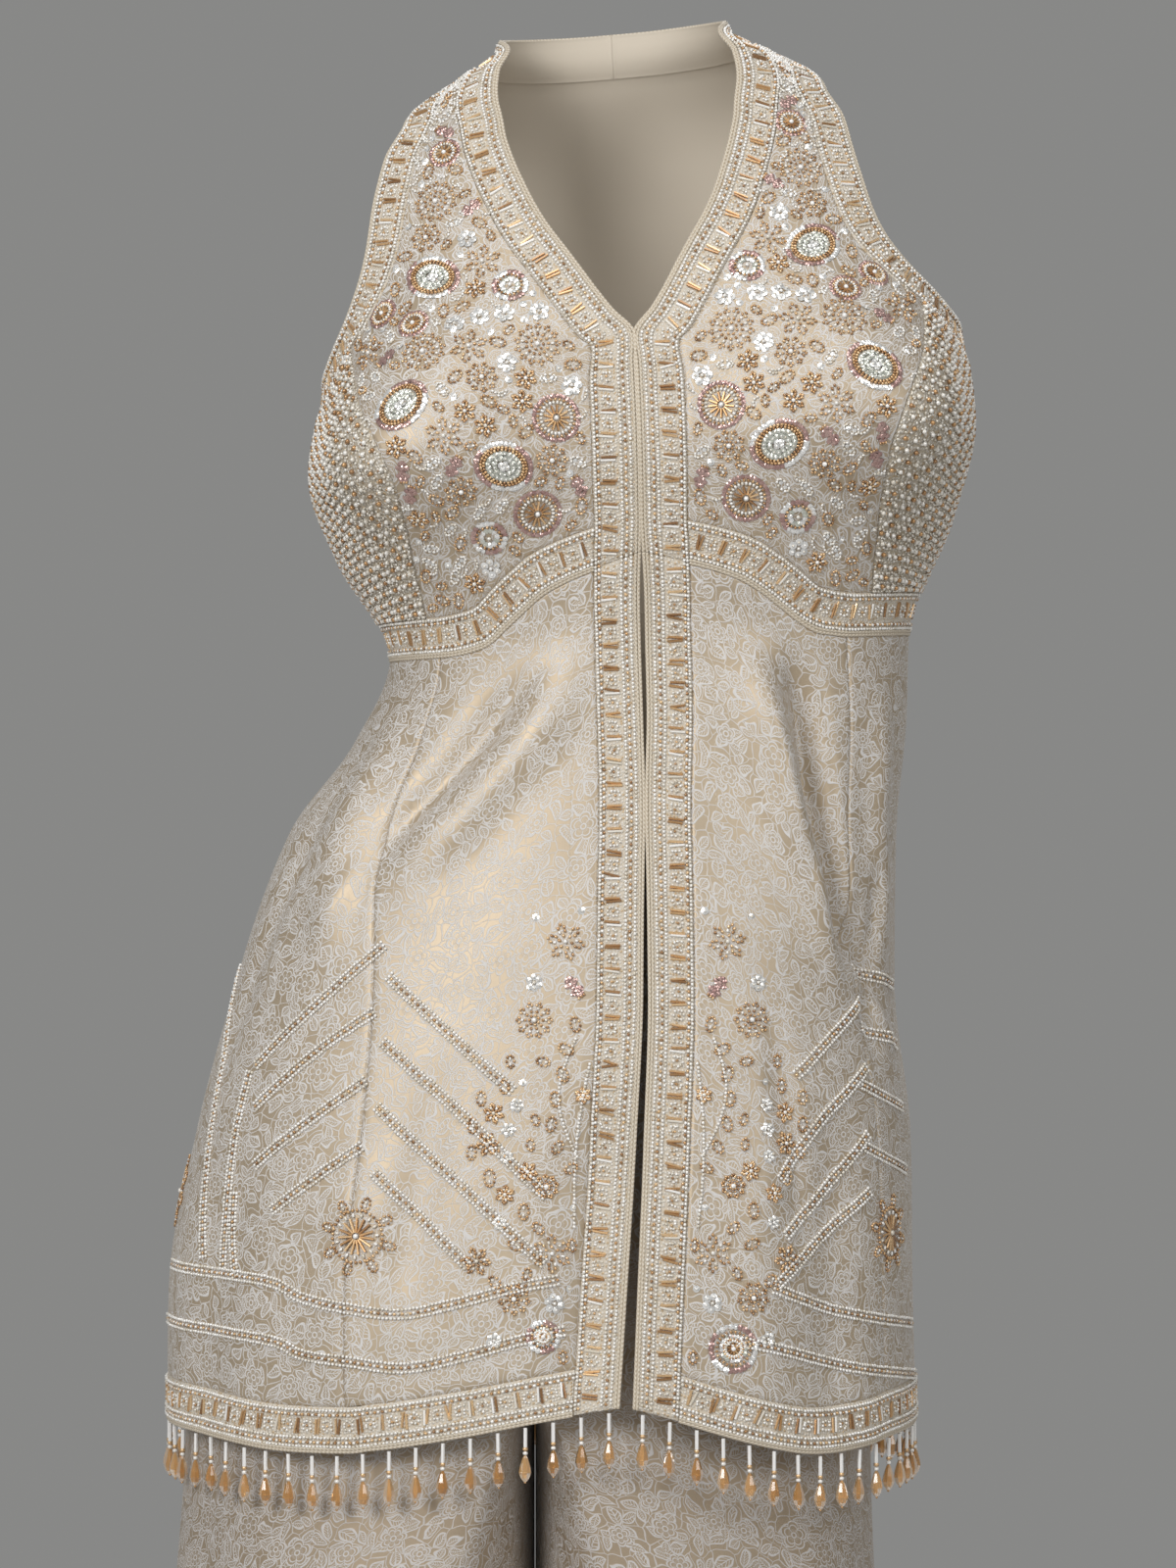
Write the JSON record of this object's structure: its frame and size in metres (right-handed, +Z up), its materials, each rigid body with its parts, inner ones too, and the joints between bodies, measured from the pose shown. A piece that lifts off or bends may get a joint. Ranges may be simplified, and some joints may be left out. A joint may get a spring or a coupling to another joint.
{
  "type": "palazzo suit",
  "caption": "Worn halter tunic with beaded borders, open front and bead-drop hem over wide-legged trousers, hollow as worn.",
  "frame": {"origin": "nape of the neck, on the inner edge of the halter neck", "axes": "+Z up, -Y towards the front, +X to the right as seen from the front"},
  "size_m": [0.5052, 0.2959, 1.4345],
  "materials": {
    "brocade": "satin jacquard, pale flowers on gold beige",
    "border": "brocade worked with beads between cord lines",
    "pearl_ground": "brocade under a grid of beads",
    "binding": "matt bias binding and piping",
    "seed_beads": "pearl and silver-lined glass beads",
    "gold_beads": "gold-brown glass beads",
    "sequins": "glossy flat sequins",
    "crystal": "faceted amber drops"
  },
  "bodies": {
    "root": {"neck_border_left": "border", "armhole_border_left": "border", "cup_left": "brocade", "pearl_panel_left": "pearl_ground", "underbust_border_left": "border", "front_border_left": "border", "skirt_front_left": "brocade", "skirt_side_left": "brocade", "hem_border_left": "border", "fringe_left": "crystal", "trouser_front_left": "brocade", "trouser_back_left": "brocade", "neck_border_right": "border", "armhole_border_right": "border", "cup_right": "brocade", "pearl_panel_right": "pearl_ground", "underbust_border_right": "border", "front_border_right": "border", "skirt_front_right": "brocade", "skirt_side_right": "brocade", "hem_border_right": "border", "fringe_right": "crystal", "trouser_front_right": "brocade", "trouser_back_right": "brocade", "bodice_back": "brocade", "hook_placket": "binding", "skirt_back": "brocade", "waistband": "brocade"}
  },
  "joints": []
}
